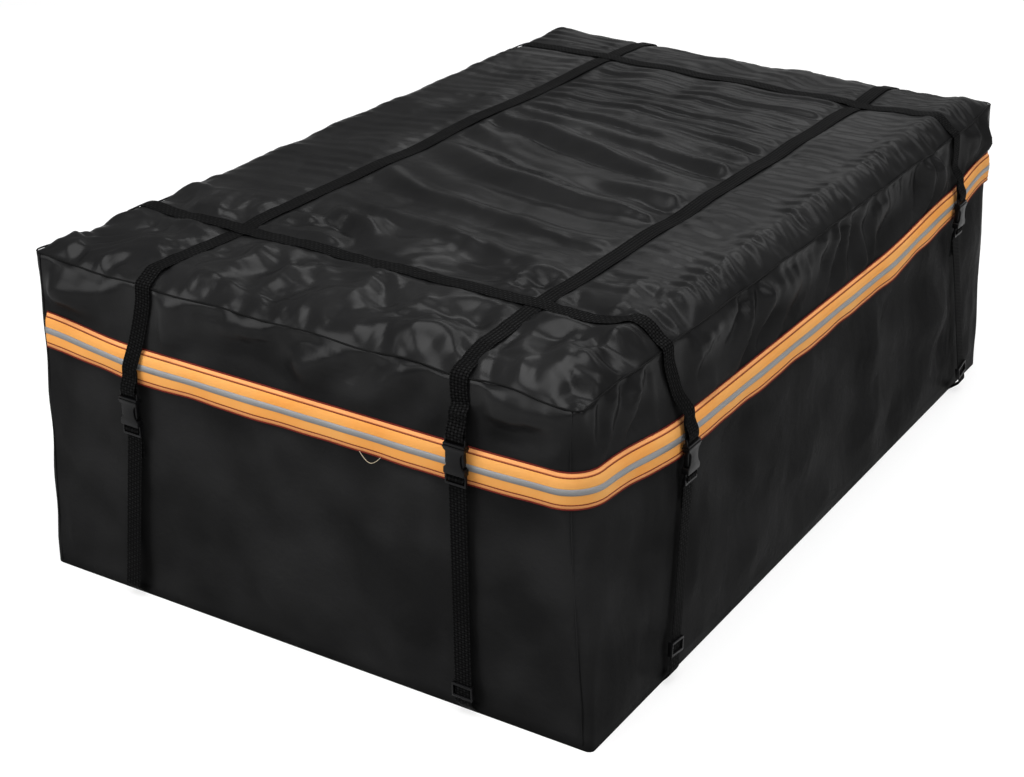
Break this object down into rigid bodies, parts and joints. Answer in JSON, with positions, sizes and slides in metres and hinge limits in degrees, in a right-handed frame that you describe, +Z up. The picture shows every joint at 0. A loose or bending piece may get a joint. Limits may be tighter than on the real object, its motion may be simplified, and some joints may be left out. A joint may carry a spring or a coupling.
{
  "type": "car roof cargo bag",
  "caption": "Soft rectangular roof cargo bag, packed and zipped shut, with an orange reflective storm flap, crossing webbing straps and side-release buckles.",
  "frame": {"origin": "middle of the whole bag's box, on the floor plane under it", "axes": "+Z up, +Y along the long side from the front end to the back end, +X across the bag to its right"},
  "size_m": [0.9031, 1.3617, 0.4905],
  "materials": {
    "coated_fabric": "black coated polyester, fine weave under a satin to glossy coat",
    "flap_cloth": "fluorescent orange woven tape, matt, with pale edges and dark red stitching",
    "reflective_tape": "silver-grey glass-bead reflective tape, satin",
    "webbing": "black polypropylene webbing, matt, plain woven with bound edges",
    "buckle_plastic": "black moulded acetal, satin",
    "zip_plastic": "black coil zip with black slider and pull"
  },
  "bodies": {
    "bag": {"bag_shell": "coated_fabric", "storm_flap": "flap_cloth", "reflective_stripe": "reflective_tape", "zip_chain": "zip_plastic", "long_strap_left": "webbing", "long_strap_right": "webbing", "cross_strap_front": "webbing", "cross_strap_rear": "webbing", "buckle_male_front_left": "buckle_plastic", "buckle_male_front_right": "buckle_plastic", "buckle_male_right_front": "buckle_plastic", "buckle_male_right_rear": "buckle_plastic", "buckle_male_back_right": "buckle_plastic", "buckle_male_back_left": "buckle_plastic", "buckle_male_left_rear": "buckle_plastic", "buckle_male_left_front": "buckle_plastic", "tail_strap_front_left": "webbing", "tail_strap_front_right": "webbing", "tail_strap_right_front": "webbing", "tail_strap_right_rear": "webbing", "tail_strap_back_right": "webbing", "tail_strap_back_left": "webbing", "tail_strap_left_rear": "webbing", "tail_strap_left_front": "webbing"},
    "female_front_left": {"buckle_female_front_left": "buckle_plastic"},
    "female_front_right": {"buckle_female_front_right": "buckle_plastic"},
    "female_right_front": {"buckle_female_right_front": "buckle_plastic"},
    "female_right_rear": {"buckle_female_right_rear": "buckle_plastic"},
    "female_back_right": {"buckle_female_back_right": "buckle_plastic"},
    "female_back_left": {"buckle_female_back_left": "buckle_plastic"},
    "female_left_rear": {"buckle_female_left_rear": "buckle_plastic"},
    "female_left_front": {"buckle_female_left_front": "buckle_plastic"},
    "glide_front_right": {"tri_glide_front_right": "buckle_plastic"},
    "glide_right_front": {"tri_glide_right_front": "buckle_plastic"},
    "glide_right_rear": {"tri_glide_right_rear": "buckle_plastic"},
    "glide_back_right": {"tri_glide_back_right": "buckle_plastic"},
    "glide_back_left": {"tri_glide_back_left": "buckle_plastic"},
    "glide_left_rear": {"tri_glide_left_rear": "buckle_plastic"},
    "glide_left_front": {"tri_glide_left_front": "buckle_plastic"},
    "slider_front": {"zip_slider_front": "zip_plastic", "zip_pull_front": "zip_plastic"},
    "slider_rear": {"zip_slider_rear": "zip_plastic", "zip_pull_rear": "zip_plastic"}
  },
  "joints": [
    {"name": "buckle_release_front_left", "type": "slide", "parent": "bag", "child": "female_front_left", "axis": [0, 0, -1], "range_m": [0, 0.034], "deforming": ["tail_strap_front_left"]},
    {"name": "buckle_release_front_right", "type": "slide", "parent": "bag", "child": "female_front_right", "axis": [0, 0, -1], "range_m": [0, 0.034], "deforming": ["tail_strap_front_right"]},
    {"name": "buckle_release_right_front", "type": "slide", "parent": "bag", "child": "female_right_front", "axis": [0, 0, -1], "range_m": [0, 0.034], "deforming": ["tail_strap_right_front"]},
    {"name": "buckle_release_right_rear", "type": "slide", "parent": "bag", "child": "female_right_rear", "axis": [0, 0, -1], "range_m": [0, 0.034], "deforming": ["tail_strap_right_rear"]},
    {"name": "buckle_release_back_right", "type": "slide", "parent": "bag", "child": "female_back_right", "axis": [0, 0, -1], "range_m": [0, 0.034], "deforming": ["tail_strap_back_right"]},
    {"name": "buckle_release_back_left", "type": "slide", "parent": "bag", "child": "female_back_left", "axis": [0, 0, -1], "range_m": [0, 0.034], "deforming": ["tail_strap_back_left"]},
    {"name": "buckle_release_left_rear", "type": "slide", "parent": "bag", "child": "female_left_rear", "axis": [0, 0, -1], "range_m": [0, 0.034], "deforming": ["tail_strap_left_rear"]},
    {"name": "buckle_release_left_front", "type": "slide", "parent": "bag", "child": "female_left_front", "axis": [0, 0, -1], "range_m": [0, 0.034], "deforming": ["tail_strap_left_front"]},
    {"name": "glide_slide_front_right", "type": "slide", "parent": "bag", "child": "glide_front_right", "axis": [-0.0081, -0.0058, 1], "range_m": [0, 0.14]},
    {"name": "glide_slide_right_front", "type": "slide", "parent": "bag", "child": "glide_right_front", "axis": [-0.0326, 0.13, 0.991], "range_m": [0, 0.14]},
    {"name": "glide_slide_right_rear", "type": "slide", "parent": "bag", "child": "glide_right_rear", "axis": [-0.0404, -0.2476, 0.968], "range_m": [0, 0.14]},
    {"name": "glide_slide_back_right", "type": "slide", "parent": "bag", "child": "glide_back_right", "axis": [-0.0111, -0.0451, 0.9989], "range_m": [0, 0.14]},
    {"name": "glide_slide_back_left", "type": "slide", "parent": "bag", "child": "glide_back_left", "axis": [0.038, -0.0153, 0.9992], "range_m": [0, 0.14]},
    {"name": "glide_slide_left_rear", "type": "slide", "parent": "bag", "child": "glide_left_rear", "axis": [0.0439, -0.0228, 0.9988], "range_m": [0, 0.14]},
    {"name": "glide_slide_left_front", "type": "slide", "parent": "bag", "child": "glide_left_front", "axis": [0.0127, 0.0364, 0.9993], "range_m": [0, 0.14]},
    {"name": "zip_slide_front", "type": "slide", "parent": "bag", "child": "slider_front", "axis": [0.0019, -1, 0], "range_m": [0, 0.24]},
    {"name": "zip_slide_rear", "type": "slide", "parent": "bag", "child": "slider_rear", "axis": [-0.0019, 1, 0], "range_m": [0, 0.24]}
  ]
}
